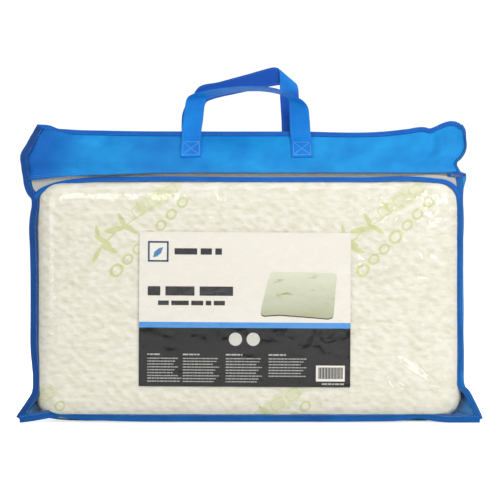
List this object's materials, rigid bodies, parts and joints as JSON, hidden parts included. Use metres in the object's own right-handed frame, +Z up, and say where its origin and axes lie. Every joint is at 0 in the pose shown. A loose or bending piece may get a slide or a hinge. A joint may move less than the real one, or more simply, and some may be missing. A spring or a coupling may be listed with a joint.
{
  "type": "packed bed pillow",
  "caption": "Moulded foam bed pillow in a printed knit cover, inside a clear-front zipped carry bag with two folding strap handles and a printed card.",
  "frame": {"origin": "middle of the base, at floor level, midway between the front and back faces", "axes": "+X along the pillow to the right as seen from the front, +Y from the clear front to the back, +Z up"},
  "size_m": [0.64, 0.1156, 0.4846],
  "materials": {
    "foam": "open-cell foam, matt",
    "liner": "thin jersey, matt",
    "cover": "ivory knit with a pale green printed motif",
    "film": "clear soft film, glossy",
    "cloth": "blue spunbond non-woven, embossed dots",
    "binding": "blue non-woven binding tape, stitched",
    "tape": "light grey woven zip tape",
    "coil": "nylon coil",
    "slider": "dark blue enamel",
    "cover_tape": "ivory woven zip tape",
    "cover_coil": "ivory nylon coil",
    "cover_slider": "ivory enamel",
    "strap": "blue non-woven strap, hemmed and stitched",
    "label": "white satin ribbon",
    "card": "printed card, satin"
  },
  "bodies": {
    "pillow_in_bag": {"foam_core": "foam", "core_liner": "liner", "cover_front": "cover", "cover_back": "cover", "care_label": "label", "insert_card": "card", "window_film": "film", "back_panel": "cloth", "front_band": "cloth", "gusset_left": "cloth", "gusset_right": "cloth", "gusset_bottom": "cloth", "front_binding_left": "binding", "front_binding_right": "binding", "front_binding_bottom": "binding", "back_binding_left": "binding", "back_binding_right": "binding", "back_binding_bottom": "binding", "window_binding": "binding", "top_binding": "binding", "bag_zip_coil_lower": "coil", "bag_zip_tape_lower": "tape", "bag_zip_coil_upper": "coil", "bag_zip_tape_upper": "tape", "bag_zip_stops": "coil", "cover_zip_coil_front": "cover_coil", "cover_zip_tape_front": "cover_tape", "cover_zip_coil_back": "cover_coil", "cover_zip_tape_back": "cover_tape", "cover_zip_stops": "cover_coil", "front_handle_tab_left": "strap", "front_handle_tab_right": "strap", "back_handle_tab_left": "strap", "back_handle_tab_right": "strap"},
    "bag_slider": {"bag_zip_slider": "slider"},
    "bag_pull": {"bag_zip_pull": "slider"},
    "cover_slider": {"cover_zip_slider": "cover_slider"},
    "cover_pull": {"cover_zip_pull": "cover_slider"},
    "front_handle": {"front_handle_loop": "strap"},
    "back_handle": {"back_handle_loop": "strap"}
  },
  "joints": [
    {"name": "bag_zip_slide", "type": "slide", "parent": "pillow_in_bag", "child": "bag_slider", "axis": [-1, 0, 0], "range_m": [0, 0.552]},
    {"name": "bag_pull_swing", "type": "hinge", "parent": "bag_slider", "child": "bag_pull", "pos_m": [0.276, -0.04457, 0.33638], "axis": [0, 0, -1], "range_deg": [0, 180]},
    {"name": "cover_zip_slide", "type": "slide", "parent": "pillow_in_bag", "child": "cover_slider", "axis": [-1, 0, 0], "range_m": [0, 0.464]},
    {"name": "cover_pull_swing", "type": "hinge", "parent": "cover_slider", "child": "cover_pull", "pos_m": [0.232, 0, 0.3403], "axis": [0, -1, 0], "range_deg": [0, 180]},
    {"name": "front_handle_fold", "type": "hinge", "parent": "pillow_in_bag", "child": "front_handle", "pos_m": [0, -0.0044, 0.39978], "axis": [1, 0, 0], "range_deg": [0, 130]},
    {"name": "back_handle_fold", "type": "hinge", "parent": "pillow_in_bag", "child": "back_handle", "pos_m": [0, 0.0044, 0.39978], "axis": [-1, 0, 0], "range_deg": [0, 130]}
  ]
}
